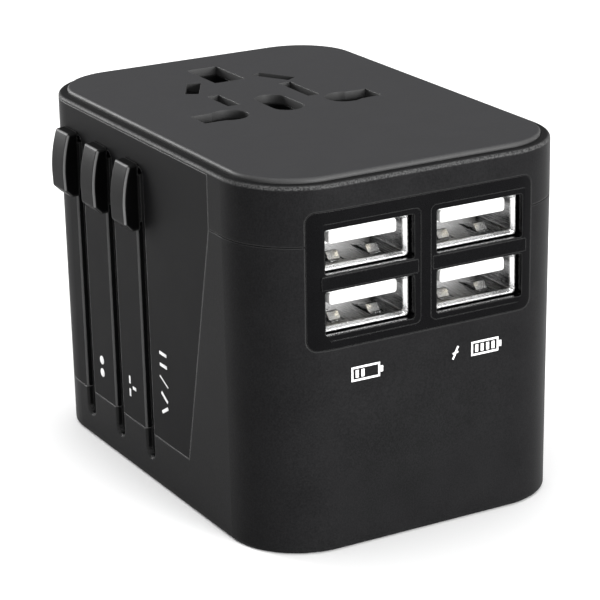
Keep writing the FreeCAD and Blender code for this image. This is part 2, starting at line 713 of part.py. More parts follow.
def contact_strips(x, z):
    """The four springy contacts under one tongue."""
    under = z + SHELL_H / 2 - SHELL_T - TONGUE_DROP - TONGUE_T
    y0 = SHELL_FRONT + 1.3
    back = SHELL_BACK - SHELL_T
    strips = []
    for shift in CONTACT_X:
        cx = x + shift
        pts = [(y0, under + 0.25), (y0 + 1.1, under - 0.35), (y0 + 1.8, under - 0.35),
               (y0 + 4.6, under + 0.0), (back, under + 0.0), (back, under + 0.25)]
        strips.append(outline_prism(pts, "x", cx - CONTACT_W / 2, CONTACT_W))
    return strips


def make_charger_board():
    half = CAVITY_X - 1.4
    s = box(-half, half, BOARD_FRONT, BOARD_BACK, PIN_PLATE_T + LEDGE_T + 0.8, LEDGE_LOW - 1.2)
    cuts = []
    for sx in (-1, 1):
        for z in (7.0, LEDGE_LOW - 4.3):
            cuts.append(Part.makeCylinder(1.1, 4, vec(sx * (half - 2.2), BOARD_FRONT - 1, z),
                                          vec(0, 1, 0)))
    return s.cut(cuts)


def make_transformer():
    x0, x1 = CORE_X
    z0, z1 = CORE_Z
    y2 = BOARD_FRONT
    y1 = y2 - 1.5
    face = -CAVITY_Y + COIL_GAP
    y0 = face + COIL_BULGE
    rim = CORE_LEG + 0.2
    core = box(x0, x1, y0, y1, z0, z1)
    for a in (x0 + CORE_LEG, x1 - CORE_LEG - CORE_WINDOW):
        core = core.cut(box(a, a + CORE_WINDOW, y0 - 0.5, y2, z0 + rim, z1 - rim))
    post_x0 = x0 + CORE_LEG + CORE_WINDOW
    post_x1 = x1 - CORE_LEG - CORE_WINDOW
    coil = box(x0 + CORE_LEG + 0.1, x1 - CORE_LEG - 0.1, face, y2, z0 + rim + 0.1, z1 - rim - 0.1)
    coil = coil.cut(box(post_x0, post_x1, y0, y1, z0 + 2, z1 - 2))
    coil = coil.makeFillet(0.6, [e for e in coil.Edges if abs(e.BoundBox.YMax - face) < 1e-3])
    return core, coil


def board_can(radius, length, x, z):
    can = Part.makeCylinder(radius, length, vec(x, BOARD_FRONT, z), vec(0, -1, 0))
    return edge_fillet(can, 0.4, lambda e: abs(e.BoundBox.YMax - (BOARD_FRONT - length)) < 1e-3)


def make_light_guide():
    """Clear piece behind the middle rib of the fascia, with three light posts."""
    x0 = RIB_X - 1.0
    x1 = RIB_X + 1.0
    y0 = -CAVITY_Y + FASCIA_FLANGE
    s = box(x0, x1, y0, y0 + 1.2, FASCIA_LOW + 1.5, FASCIA_HIGH - 1.5)
    posts = [box(x0 + 0.3, x1 - 0.3, y0 + 1.2, BOARD_FRONT - 1.1, z - 1.0, z + 1.0)
             for z in light_heights()]
    return joined([s] + posts)


def light_heights():
    return [PORT_Z + k * (FASCIA_HIGH - FASCIA_LOW) * 0.3 for k in (-1, 0, 1)]


def make_indicator_leds():
    return [box(RIB_X - 0.8, RIB_X + 0.8, BOARD_FRONT - 0.9, BOARD_FRONT, z - 0.6, z + 0.6)
            for z in light_heights()]


# ---------------------------------------------------------------- socket inside
def make_socket_insert():
    clear = 0.15
    flange = rounded_prism(WINDOW_X - clear, WINDOW_Y - clear, WINDOW_R - clear,
                           LEDGE_LOW + 0.3, PLATE_LOW)
    core = rounded_prism(INSERT_HALF_X, INSERT_HALF_Y, 2.0, INSERT_LOW, PLATE_LOW,
                         PATTERN_X, INSERT_Y)
    s = joined([flange, core.cut(post_clearance())])
    return s.cut(socket_holes(-0.12, INSERT_LOW - 1, PLATE_LOW + 1))


def post_clearance():
    return [rod(POST_R + 0.15, x, y, 0, LEDGE_LOW + 0.3) for x, y in screw_places()]


def make_contact_block():
    s = rounded_prism(INSERT_HALF_X, INSERT_HALF_Y, 2.0, BLOCK_LOW, INSERT_LOW,
                      PATTERN_X, INSERT_Y)
    s = s.cut(rounded_prism(INSERT_HALF_X - BLOCK_WALL, INSERT_HALF_Y - BLOCK_WALL, 1.0,
                            BLOCK_HIGH, INSERT_LOW + 1, PATTERN_X, INSERT_Y))
    for side in (-1, 1):
        xs = sorted(PATTERN_X + side * v for v in SIDE_CAVITY)
        s = s.cut(box(xs[0], xs[1], SIDE_CAVITY_Y[0], SIDE_CAVITY_Y[1], BLOCK_LOW - 1, BLOCK_HIGH + 1))
    s = s.cut(box(PATTERN_X - EARTH_CAVITY, PATTERN_X + EARTH_CAVITY, EARTH_CAVITY_Y[0],
                  EARTH_CAVITY_Y[1], BLOCK_LOW - 1, BLOCK_HIGH + 1))
    front = (PATTERN_X - INSERT_HALF_X + 3, PATTERN_X + INSERT_HALF_X - 3)
    s = s.cut(box(front[0], front[1], INSERT_FRONT + BLOCK_WALL, SIDE_CAVITY_Y[0] - 1.6,
                  BLOCK_LOW - 1, BLOCK_HIGH - 1.6))
    return s.cut([earth_link_box(0.1)] + post_clearance())


def earth_link_box(grow):
    half = EARTH_LINK_HALF + grow
    return box(PATTERN_X - half, PATTERN_X + half, EARTH_BUS_Y, EARTH_CAVITY_Y[0] + 0.5,
               EARTH_LINK_LOW - grow, EARTH_LINK_HIGH + grow)


def make_live_contact(side):
    """Brass strip in one side cavity, with leaf pairs for each pattern."""
    def span(a, b):
        return sorted((PATTERN_X + side * a, PATTERN_X + side * b))

    pieces = []
    a, b = span(15.2, 15.6)
    pieces.append(box(a, b, -2.2, 20.2, LEAF_LOW, LEAF_HIGH))
    a, b = span(7.2, 15.4)
    for y in (LINE_Y - 2.45, LINE_Y + 2.05):
        pieces.append(box(a, b, y, y + LEAF_T, LEAF_LOW, LEAF_HIGH))
    a, b = span(5.1, 15.4)
    pieces.append(box(a, b, 12.75, 13.15, LEAF_LOW, LEAF_LOW + 4))
    for x in (5.1, 7.2):
        a, b = span(x, x + LEAF_T)
        pieces.append(box(a, b, 3.9, 12.9, LEAF_LOW, LEAF_LOW + 4))
    for offset in (-1.3, 1.3):
        leaf = turned_box(LEAF_T, 6.0, PATTERN_X + side * AUS_HALF + offset,
                          AUS_SLOT_Y, LEAF_LOW, LEAF_LOW + 4, side * AUS_ANGLE)
        pieces.append(leaf)
    a, b = span(4.6, 15.4)
    pieces.append(box(a, b, 19.7, 20.1, LEAF_LOW, LEAF_LOW + 4))
    room = box(*span(SIDE_CAVITY[0] + 0.05, SIDE_CAVITY[1] - 0.05), SIDE_CAVITY_Y[0] + 0.05,
               SIDE_CAVITY_Y[1] - 0.05, BLOCK_LOW, BLOCK_HIGH)
    return joined(pieces).common(room)


def make_earth_contact():
    x = PATTERN_X
    pieces = []
    for side in (-1, 1):
        a, b = sorted((x + side * 2.35, x + side * 2.75))
        pieces.append(box(a, b, EARTH_CAVITY_Y[0] + 0.2, EARTH_CAVITY_Y[1] - 0.2, LEAF_LOW, LEAF_LOW + 5))
    pieces.append(box(x - 2.75, x + 2.75, EARTH_CAVITY_Y[0] + 0.1, EARTH_CAVITY_Y[0] + 0.5,
                      LEAF_LOW, LEAF_LOW + 5))
    return joined(pieces)


def make_bus_bar(side):
    """Upright strips that the carriages' wipers meet when a pin set is out."""
    pieces = []
    xs = sorted((PATTERN_X + side * 8.0, PATTERN_X + side * 12.0))
    for y in BUS_Y.values():
        pieces.append(box(xs[0], xs[1], y - BUS_T / 2, y + BUS_T / 2,
                          BUS_FOOT, LEAF_LOW + 3.0))
    web = sorted((PATTERN_X + side * 8.0, PATTERN_X + side * 8.5))
    pieces.append(box(web[0], web[1], BUS_Y["front"], BUS_Y["back"], LEAF_LOW + 0.6, LEAF_LOW + 3.0))
    return joined(pieces)


def make_earth_bus():
    x = PATTERN_X
    rail = box(x - EARTH_LINK_HALF, x + EARTH_LINK_HALF, EARTH_BUS_Y, EARTH_BUS_Y + BUS_T,
               BUS_FOOT, EARTH_LINK_HIGH)
    link = earth_link_box(0)
    return joined([rail, link])


def make_shutter():
    left = box(PATTERN_X - 15.4, PATTERN_X - 3.2, LINE_Y - 5.4, LINE_Y + 3.4, SHUTTER_LOW, SHUTTER_HIGH)
    right = box(PATTERN_X + 3.2, PATTERN_X + 15.4, LINE_Y - 5.4, LINE_Y + 3.4, SHUTTER_LOW, SHUTTER_HIGH)
    bridge = box(PATTERN_X - 4, PATTERN_X + 4, LINE_Y - 5.4, LINE_Y - 3.4, SHUTTER_LOW, SHUTTER_HIGH)
    s = joined([left, right, bridge])
    ramps = []
    for cx in (PATTERN_X - EU_HALF, PATTERN_X + EU_HALF):
        ramp = [(LINE_Y + 3.4, SHUTTER_HIGH), (LINE_Y + 3.4, SHUTTER_LOW + 0.5),
                (LINE_Y + 0.4, SHUTTER_HIGH)]
        ramps.append(outline_prism(ramp, "x", cx - 4.8, 9.6))
    return s.cut(ramps)


def make_shutter_springs():
    front = INSERT_FRONT + BLOCK_WALL
    back = LINE_Y - 5.4 - 0.1
    springs = []
    for side in (-1, 1):
        cx = PATTERN_X + side * 8.0
        cz = (SHUTTER_LOW + SHUTTER_HIGH) / 2
        pitch = (back - front - 0.3) / SPRING_TURNS
        helix = Part.makeHelix(pitch, pitch * SPRING_TURNS, SPRING_R)
        profile = Part.Wire(Part.makeCircle(SPRING_WIRE_R, vec(SPRING_R, 0, 0), vec(0, 1, 0)))
        coil = Part.Wire(helix).makePipeShell([profile], True, True)
        coil.rotate(vec(0, 0, 0), vec(1, 0, 0), -90)
        coil.translate(vec(cx, front + 0.15, cz))
        springs.append(coil)
    return springs


# ---------------------------------------------------------------- carriages
def riser(name):
    y = stem_centre(name)
    return joined([box(RISER_X1, RISER_X2, y - 2.2, y + 2.2, CARRIAGE_LOW + 1.8, SLOT_HEAD - 0.2),
                   box(FACE_X + 0.2, RISER_X1 + 0.5, y - STEM_W / 2, y + STEM_W / 2,
                       STEM_LOW, STEM_HIGH)])


def make_eu_carriage():
    y = stem_centre("eu")
    py = SLOT_Y["eu"]
    x0 = PATTERN_X - EU_HALF - 4.0
    x1 = PATTERN_X + EU_HALF + 4.0
    y1 = EARTH_SLOT_Y + EARTH_SLOT[1] / 2 + 2.4
    ring = box(x0, x1, py - 3.6, y1, CARRIAGE_LOW, CARRIAGE_HIGH)
    ring = edge_fillet(ring, 1.5, upright)
    window = box(PATTERN_X - 3.0, PATTERN_X + 3.0, EARTH_SLOT_Y - EARTH_SLOT[1] / 2 - 0.1,
                 EARTH_SLOT_Y + EARTH_SLOT[1] / 2 + 0.3, CARRIAGE_LOW - 1, CARRIAGE_HIGH + 1)
    arm = box(RISER_X2 - 0.9, x0 + 2, y - 2.2, y + 2.2, CARRIAGE_LOW, CARRIAGE_HIGH)
    return joined([riser("eu"), arm, ring]).cut(window)


def make_uk_carriage():
    y = stem_centre("uk")
    py = SLOT_Y["uk"]
    x1 = PATTERN_X + UK_HALF + UK_PIN[0] / 2 + 4.4
    bar = box(RISER_X2 - 0.9, x1, py - 2.8, py + 2.7, CARRIAGE_LOW, CARRIAGE_HIGH)
    start = box(RISER_X2 - 0.9, RISER_X2 + 1.5, y - 2.2, y + 2.2, CARRIAGE_LOW, CARRIAGE_HIGH)
    link = box(x1 - 3.3, x1, UK_FOOT_Y - 2.0, py + 2.0, CARRIAGE_LOW, CARRIAGE_HIGH)
    foot = box(PATTERN_X - 2.9, x1, UK_FOOT_Y - 2.0, UK_FOOT_Y + 2.0, CARRIAGE_LOW, CARRIAGE_HIGH)
    boss = box(PATTERN_X - 2.9, PATTERN_X + 2.9, UK_FOOT_Y - 4.7, UK_FOOT_Y + 4.4,
               CARRIAGE_LOW, CARRIAGE_HIGH)
    return joined([riser("uk"), start, bar, link, foot, boss])


def make_us_carriage():
    y = stem_centre("us")
    py = SLOT_Y["us"]
    start = box(RISER_X2 - 0.9, RISER_X2 + 3.0, US_BAR_Y[0], y + 2.2, CARRIAGE_LOW, CARRIAGE_HIGH)
    x1 = PATTERN_X + US_HALF + 3.6
    bar = box(RISER_X2 - 0.9, x1, US_BAR_Y[0], US_BAR_Y[1], CARRIAGE_LOW, CARRIAGE_HIGH)
    fingers = []
    for side in (-1, 1):
        x = PATTERN_X + side * US_HALF
        pad = box(x - 3.4, x + 3.4, US_BAR_Y[0], py + 3.5, CARRIAGE_LOW, CARRIAGE_LOW + FINGER_T)
        fingers.append(pad)
    s = joined([riser("us"), start, bar] + fingers)
    holes = [rod(PIVOT_R + RUN, PATTERN_X + side * US_HALF, py, CARRIAGE_LOW - 1, CARRIAGE_LOW + 3)
             for side in (-1, 1)]
    return s.cut(holes)


def make_knob(name):
    """Finger knob: arched outer face, cut-off lower end, rounded edges."""
    y0 = SLOT_Y[name] - KNOB_EDGE
    foot = FACE_X - KNOB_GAP
    crown = foot - KNOB_PROUD
    brow = foot - KNOB_TOP_PROUD
    swell = KNOB_PROUD - KNOB_TOP_PROUD
    mid_z = KNOB_LOW + KNOB_H * 0.34
    arc = Part.Arc(vec(brow, 0, KNOB_HIGH - 0.15), vec(brow - 0.76 * swell, 0, KNOB_HIGH - 3.2),
                   vec(crown, 0, mid_z)).toShape()
    points = [vec(crown, 0, mid_z), vec(crown + 0.1, 0, KNOB_LOW + 1.15),
              vec(foot - 1.2, 0, KNOB_LOW), vec(foot, 0, KNOB_LOW),
              vec(foot, 0, KNOB_HIGH), vec(brow, 0, KNOB_HIGH - 0.15)]
    edges = [arc]
    for a, b in zip(points, points[1:]):
        edges.append(Part.makeLine(a, b))
    s = Part.Face(Part.Wire(edges)).extrude(vec(0, KNOB_W, 0))
    s.translate(vec(0, y0, 0))
    s = edge_fillet(s, KNOB_ROUND, lambda e: e.BoundBox.XMax < foot - 0.05
                    or (e.BoundBox.YLength < 1e-3 and e.BoundBox.XMin < foot - 0.5))
    stem_y = stem_centre(name)
    stem = box(foot - 0.5, FACE_X + 0.2, stem_y - STEM_W / 2, stem_y + STEM_W / 2,
               STEM_LOW, STEM_HIGH)
    return joined([s, stem])


# ---------------------------------------------------------------- pins
def rounded_pin(w, d, x, y, z0, z1, tip=0.9):
    s = box(x - w / 2, x + w / 2, y - d / 2, y + d / 2, z0, z1)
    s = edge_fillet(s, 0.35, upright)
    return s.makeChamfer(tip, [e for e in s.Edges if flat_at(e, z0)])


def make_eu_pin(side):
    x = PATTERN_X + side * EU_HALF
    y = SLOT_Y["eu"]
    tip = TRAVEL - EU_EXPOSED
    step = tip + EU_EXPOSED - SLEEVE_L
    low = rod(EU_PIN_R, x, y, tip, step)
    low = edge_fillet(low, 1.0, lambda e: flat_at(e, tip))
    core = rod(EU_PIN_R - SLEEVE_T, x, y, step, CARRIAGE_HIGH)
    return joined([low, core])


def make_eu_sleeves():
    y = SLOT_Y["eu"]
    step = TRAVEL - SLEEVE_L
    return [rod(EU_SLEEVE_R, PATTERN_X + side * EU_HALF, y, step, CARRIAGE_LOW).cut(
        rod(EU_PIN_R - SLEEVE_T, PATTERN_X + side * EU_HALF, y, step - 1, CARRIAGE_LOW + 1))
        for side in (-1, 1)]


def uk_core(x, y, z0, z1):
    return box(x - UK_PIN[0] / 2 + SLEEVE_T, x + UK_PIN[0] / 2 - SLEEVE_T,
               y - UK_PIN[1] / 2 + SLEEVE_T, y + UK_PIN[1] / 2 - SLEEVE_T, z0, z1)


def make_uk_pin(side):
    x = PATTERN_X + side * UK_HALF
    y = SLOT_Y["uk"]
    tip = TRAVEL - UK_EXPOSED
    step = TRAVEL - SLEEVE_L
    low = rounded_pin(UK_PIN[0], UK_PIN[1], x, y, tip, step)
    return joined([low, uk_core(x, y, step, CARRIAGE_HIGH)])


def make_uk_sleeves():
    y = SLOT_Y["uk"]
    step = TRAVEL - SLEEVE_L
    sleeves = []
    for side in (-1, 1):
        x = PATTERN_X + side * UK_HALF
        half_x = UK_PIN[0] / 2 - UK_SLEEVE_IN
        half_y = UK_PIN[1] / 2 - UK_SLEEVE_IN
        s = box(x - half_x, x + half_x, y - half_y, y + half_y, step, CARRIAGE_LOW)
        s = edge_fillet(s, 0.35, upright)
        sleeves.append(s.cut(uk_core(x, y, step - 1, CARRIAGE_LOW + 1)))
    return sleeves


def make_uk_earth_pin():
    return rounded_pin(UK_EARTH[0], UK_EARTH[1], PATTERN_X, UK_FOOT_Y,
                       TRAVEL - UK_EARTH_EXPOSED, CARRIAGE_HIGH, 0.9)


def make_us_blade(side):
    x = PATTERN_X + side * US_HALF
    y = SLOT_Y["us"]
    tip = TRAVEL - US_EXPOSED
    blade = rounded_pin(US_BLADE[0], US_BLADE[1], x, y, tip, CARRIAGE_LOW - 0.1, 0.45)
    hole = Part.makeCylinder(1.5, 6, vec(x - 3, y, tip + 4.0), vec(1, 0, 0))
    blade = blade.cut(hole)
    pivot = rod(PIVOT_R, x, y, CARRIAGE_LOW - 0.3, CARRIAGE_LOW + FINGER_T + 0.2)
    head = rod(PIVOT_R + 0.7, x, y, CARRIAGE_LOW + FINGER_T + 0.1, CARRIAGE_LOW + FINGER_T + 0.7)
    return joined([blade, pivot, head])


def make_wipers(name):
    """Springy strips from the pins to the bus bars."""
    strips = []
    for side in (-1, 1):
        if name == "eu":
            x = PATTERN_X + side * EU_HALF
            strips.append(box(x - 1.1, x + 1.1, BUS_Y["back"] + BUS_T / 2 + 0.1,
                              SLOT_Y["eu"] - EU_PIN_R + SLEEVE_T, WIPER_LOW, WIPER_HIGH))
        elif name == "uk":
            x = PATTERN_X + side * (UK_HALF - 1.0)
            strips.append(box(x - 1.1, x + 1.1, SLOT_Y["uk"] + UK_PIN[1] / 2 - SLEEVE_T,
                              BUS_Y["back"] - BUS_T / 2 - 0.1, WIPER_LOW, WIPER_HIGH))
        else:
            x = PATTERN_X + side * (US_HALF + 2.6)
            strips.append(box(x - 0.6, x + 0.6, SLOT_Y["us"] + 1.0,
                              BUS_Y["front"] - BUS_T / 2 - 0.1,
                              CARRIAGE_LOW + FINGER_T, CARRIAGE_LOW + FINGER_T + 0.3))
    if name == "uk":
        strips.append(box(PATTERN_X - 1.2, PATTERN_X + 1.2, EARTH_BUS_Y + BUS_T + 0.1,
                          UK_FOOT_Y - UK_EARTH[1] / 2, WIPER_LOW, WIPER_HIGH))
    return strips


def make_fuse():
    x = CAVITY_X - FUSE_R - 0.7
    z = FUSE_Z
    body = Part.makeCylinder(FUSE_R - 0.1, FUSE_L - 2, vec(x, FUSE_Y + 1, z), vec(0, 1, 0))
    caps = []
    clips = []
    for y in (FUSE_Y, FUSE_Y + FUSE_L - FUSE_CAP_L):
        caps.append(Part.makeCylinder(FUSE_R, FUSE_CAP_L, vec(x, y, z), vec(0, 1, 0)))
        grip = Part.makeCylinder(FUSE_R + 0.3, 2.0, vec(x, y + 0.6, z), vec(0, 1, 0))
        grip = grip.cut(Part.makeCylinder(FUSE_R, 8, vec(x, y - 2, z), vec(0, 1, 0)))
        grip = grip.cut(box(x - 4, x - 0.9, y - 1, y + 5, z - 4, z + 4))
        foot = box(x + FUSE_R + 0.1, CAVITY_X, y + 0.6, y + 2.6, z - 1, z + 1)
        clips.append(joined([grip, foot]))
    return joined([body] + caps), clips


# ---------------------------------------------------------------- build
save("upper_cap", make_upper_cap())
save("lower_housing", make_lower_housing())
save("socket_plate", make_socket_plate())
save("pin_face_plate", make_pin_face_plate())
save("slider_side_panel", make_slider_side_panel())
save("slider_guide", make_slider_guide())
save_group("housing_screws", make_housing_screws())

save("usb_fascia", make_usb_fascia())
contact_group = []
for number, (port_x, port_z) in enumerate(port_places(), 1):
    save("usb_shell_%d" % number, make_usb_shell(port_x, port_z))
    save("usb_tongue_%d" % number, make_usb_tongue(port_x, port_z))
    contact_group += contact_strips(port_x, port_z)
save_group("usb_contacts", contact_group)
save("charger_board", make_charger_board())
transformer_core, transformer_coil = make_transformer()
save("transformer_core", transformer_core)
save("transformer_coil", transformer_coil)
save("input_capacitor", board_can(*INPUT_CAN))
save_group("output_capacitors",
           [board_can(*OUTPUT_CAN, x, OUTPUT_CAN_Z) for x in OUTPUT_CAN_X])
save("charge_controller", box(*CHIP_X, BOARD_FRONT - CHIP_T, BOARD_FRONT, *CHIP_Z))
save("light_guide", make_light_guide())
save_group("indicator_leds", make_indicator_leds())

save("socket_insert", make_socket_insert())
save("contact_block", make_contact_block())
live_bars = [make_bus_bar(side) for side in (-1, 1)]
save("line_contact", make_live_contact(-1).cut(live_bars[0]))
save("neutral_contact", make_live_contact(1).cut(live_bars[1]))
save("line_bus_bar", live_bars[0])
save("neutral_bus_bar", live_bars[1])
earth_bus = make_earth_bus()
save("earth_contact", make_earth_contact().cut(earth_bus))
save("earth_bus_bar", earth_bus)
save("shutter", make_shutter())
save_group("shutter_springs", make_shutter_springs())
fuse, fuse_clips = make_fuse()
save("fuse", fuse)
save_group("fuse_clips", fuse_clips)

eu_pins = [make_eu_pin(-1), make_eu_pin(1)]
uk_pins = [make_uk_pin(-1), make_uk_pin(1)]
uk_earth = make_uk_earth_pin()
eu_wipers = [w.cut(eu_pins) for w in make_wipers("eu")]
uk_wipers = [w.cut(uk_pins + [uk_earth]) for w in make_wipers("uk")]
us_wipers = make_wipers("us")
save("eu_carriage", make_eu_carriage().cut(eu_pins + eu_wipers))
save("uk_carriage", make_uk_carriage().cut(uk_pins + [uk_earth] + uk_wipers))
save("us_carriage", make_us_carriage())
for plug in SLOT_Y:
    save(plug + "_knob", make_knob(plug))
save("eu_pin_left", eu_pins[0])
save("eu_pin_right", eu_pins[1])
save_group("eu_pin_sleeves", make_eu_sleeves())
save("uk_pin_left", uk_pins[0])
save("uk_pin_right", uk_pins[1])
save("uk_earth_pin", uk_earth)
save_group("uk_pin_sleeves", make_uk_sleeves())
save("us_blade_left", make_us_blade(-1))
save("us_blade_right", make_us_blade(1))
save_group("eu_wipers", eu_wipers)
save_group("uk_wipers", uk_wipers)
save_group("us_wipers", us_wipers)
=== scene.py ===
import json
import math

import bpy
from mathutils import Matrix, Vector


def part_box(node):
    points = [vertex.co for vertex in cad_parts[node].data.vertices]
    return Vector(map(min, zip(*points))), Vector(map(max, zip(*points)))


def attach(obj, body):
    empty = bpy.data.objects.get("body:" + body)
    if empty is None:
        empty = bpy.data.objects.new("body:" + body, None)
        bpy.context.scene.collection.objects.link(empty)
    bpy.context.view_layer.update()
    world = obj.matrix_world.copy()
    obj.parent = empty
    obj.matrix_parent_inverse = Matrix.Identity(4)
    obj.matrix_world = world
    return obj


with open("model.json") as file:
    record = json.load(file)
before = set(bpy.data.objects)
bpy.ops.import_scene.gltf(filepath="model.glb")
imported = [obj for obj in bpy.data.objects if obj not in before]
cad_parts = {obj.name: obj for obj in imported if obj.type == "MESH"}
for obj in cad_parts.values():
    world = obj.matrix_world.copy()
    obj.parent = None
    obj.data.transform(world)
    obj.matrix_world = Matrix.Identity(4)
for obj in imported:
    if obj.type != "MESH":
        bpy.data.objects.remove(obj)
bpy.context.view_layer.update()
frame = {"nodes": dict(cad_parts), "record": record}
nodes = frame["nodes"]
scene = bpy.context.scene
MM = 0.001

# shared effects
SPECK_SHARE = 0.35              # of the grain's height that comes from its specks
MOTTLE_SPAN = (0.3, 0.7)        # noise values that become 0 and 1
SPECKLE_SPAN = (0.35, 0.68)
SHADE_SPAN = (0.3, 0.7)
EDGE_SPAN = (1.0, 0.8)          # cosine between the rounded and the true normal
BAND_FADE = 0.5                 # share of a band's half width over which it fades out

# moulded plastic
MOTTLE_TONE = 0.25              # how far the mottle and the speckle move the colour
SPECKLE_TONE = 0.6
MOTTLE_SHEEN = 0.06             # how far the mottle moves the roughness
PLASTIC_BUMP = 0.6

# metal and clear plastic
SHADE_SHEEN = 0.12              # how far the drawn lines move the roughness
METAL_BUMP = 0.5
FLOW_SIZE = 0.0009
FLOW_TINT = 0.92
FLOW_SHEEN = 0.08
CLEAR_SHARE = 0.85
ACRYLIC_IOR = 1.49

# directions that the facing bands measure from
UP = (0.0, 0.0, 1.0)
SLIDER_SIDE = (-1.0, 0.0, 0.0)
SLIDER_CORNER = (-0.707, -0.707, 0.0)
SLIDER_TOP = (-0.707, 0.0, 0.707)
FRONT_TOP = (0.0, -0.707, 0.707)

# printed marks
MARK_T = 0.00006
MARK_LIFT = 0.45                # share of its thickness that a mark's middle stands off the skin
BAR_ROUND = 0.000018
DOT_ROUND = 0.000015
DOT_SIDES = 24
SMOOTH_ANGLE = math.radians(35)
RAY_START = -0.1                # outside the casing, where the rays that find its skin start


# ---------------------------------------------------------------- node helpers
def new_group(name, inputs, outputs):
    """An empty node group with named sockets; returns it with its input and output nodes."""
    group = bpy.data.node_groups.new(name, "ShaderNodeTree")
    for label, kind, value in inputs:
        socket = group.interface.new_socket(label, in_out="INPUT", socket_type=kind)
        if value is not None:
            socket.default_value = value
    for label, kind in outputs:
        group.interface.new_socket(label, in_out="OUTPUT", socket_type=kind)
    entry = group.nodes.new("NodeGroupInput")
    leave = group.nodes.new("NodeGroupOutput")
    return group, entry, leave


def add(tree, kind, **values):
    """A node of that kind, with properties and input values set by name."""
    node = tree.nodes.new(kind)
    for name, value in values.items():
        if hasattr(node, name):
            setattr(node, name, value)
        else:
            node.inputs[name.replace("_", " ")].default_value = value
    return node


def ramp(tree, source, low, high, to_low=0.0, to_high=1.0):
    """Maps a value's range onto another, clamped."""
    node = tree.nodes.new("ShaderNodeMapRange")
    node.inputs["From Min"].default_value = low
    node.inputs["From Max"].default_value = high
    node.inputs["To Min"].default_value = to_low
    node.inputs["To Max"].default_value = to_high
    tree.links.new(source, node.inputs["Value"])
    return node.outputs["Result"]


def maths(tree, operation, a, b=0.0):
    """One arithmetic step between two sockets or numbers."""
    node = tree.nodes.new("ShaderNodeMath")
    node.operation = operation
    for socket, value in zip(node.inputs, (a, b)):
        if isinstance(value, (int, float)):
            socket.default_value = value
        else:
            tree.links.new(value, socket)
    return node.outputs[0]


# ---------------------------------------------------------------- shared effects
def make_moulded_grain():
    """Spark-eroded mould grain: fine pebbles with specks, and a slow mottle."""
    group, entry, leave = new_group(
        "moulded_grain",
        [("Grain Size", "NodeSocketFloat", 0.00016), ("Mottle Size", "NodeSocketFloat", 0.006)],
        [("Height", "NodeSocketFloat"), ("Mottle", "NodeSocketFloat"),
         ("Speckle", "NodeSocketFloat")])
    coordinate = add(group, "ShaderNodeTexCoord")
    fine_scale = maths(group, "DIVIDE", 1.0, entry.outputs["Grain Size"])
    slow_scale = maths(group, "DIVIDE", 1.0, entry.outputs["Mottle Size"])
    pebbles = add(group, "ShaderNodeTexNoise", Detail=2.0, Roughness=0.55)
    group.links.new(coordinate.outputs["Object"], pebbles.inputs["Vector"])
    group.links.new(fine_scale, pebbles.inputs["Scale"])
    slow = add(group, "ShaderNodeTexNoise", Detail=3.0, Roughness=0.5)
    group.links.new(coordinate.outputs["Object"], slow.inputs["Vector"])
    group.links.new(slow_scale, slow.inputs["Scale"])
    specks = add(group, "ShaderNodeTexVoronoi", feature="F1")
    group.links.new(coordinate.outputs["Object"], specks.inputs["Vector"])
    group.links.new(fine_scale, specks.inputs["Scale"])
    height = maths(group, "ADD", pebbles.outputs["Fac"],
                   maths(group, "MULTIPLY", specks.outputs["Distance"], SPECK_SHARE))
    group.links.new(height, leave.inputs["Height"])
    group.links.new(ramp(group, slow.outputs["Fac"], *MOTTLE_SPAN), leave.inputs["Mottle"])
    group.links.new(ramp(group, pebbles.outputs["Fac"], *SPECKLE_SPAN), leave.inputs["Speckle"])
    return group


def make_edge_wear_and_highlight():
    """Mask of the edges, where handling polishes the grain and where materials paint a highlight
    tone, and a rounded normal.
    """
    group, entry, leave = new_group(
        "edge_wear_and_highlight",
        [("Width", "NodeSocketFloat", 0.0003)],
        [("Edge", "NodeSocketFloat"), ("Normal", "NodeSocketVector")])
    bevel = add(group, "ShaderNodeBevel", samples=4)
    group.links.new(entry.outputs["Width"], bevel.inputs["Radius"])
    surface = add(group, "ShaderNodeNewGeometry")
    dot = add(group, "ShaderNodeVectorMath", operation="DOT_PRODUCT")
    group.links.new(bevel.outputs["Normal"], dot.inputs[0])
    group.links.new(surface.outputs["Normal"], dot.inputs[1])
    group.links.new(ramp(group, dot.outputs["Value"], *EDGE_SPAN), leave.inputs["Edge"])
    group.links.new(bevel.outputs["Normal"], leave.inputs["Normal"])
    return group


def make_facing_band():
    """Mask of the faces whose direction is near one angle: chamfers, roundings, hole walls."""
    group, entry, leave = new_group(
        "facing_band",
        [("Facing", "NodeSocketVector", (0.0, 0.0, 1.0)), ("Middle", "NodeSocketFloat", 1.0),
         ("Half", "NodeSocketFloat", 0.2)],
        [("Mask", "NodeSocketFloat")])
    coordinate = add(group, "ShaderNodeTexCoord")
    dot = add(group, "ShaderNodeVectorMath", operation="DOT_PRODUCT")
    group.links.new(coordinate.outputs["Normal"], dot.inputs[0])
    group.links.new(entry.outputs["Facing"], dot.inputs[1])
    away = maths(group, "ABSOLUTE", maths(group, "SUBTRACT", dot.outputs["Value"],
                                          entry.outputs["Middle"]))
    inside = maths(group, "DIVIDE", maths(group, "SUBTRACT", entry.outputs["Half"], away),
                   maths(group, "MULTIPLY", entry.outputs["Half"], BAND_FADE))
    group.links.new(ramp(group, inside, 0.0, 1.0), leave.inputs["Mask"])
    return group


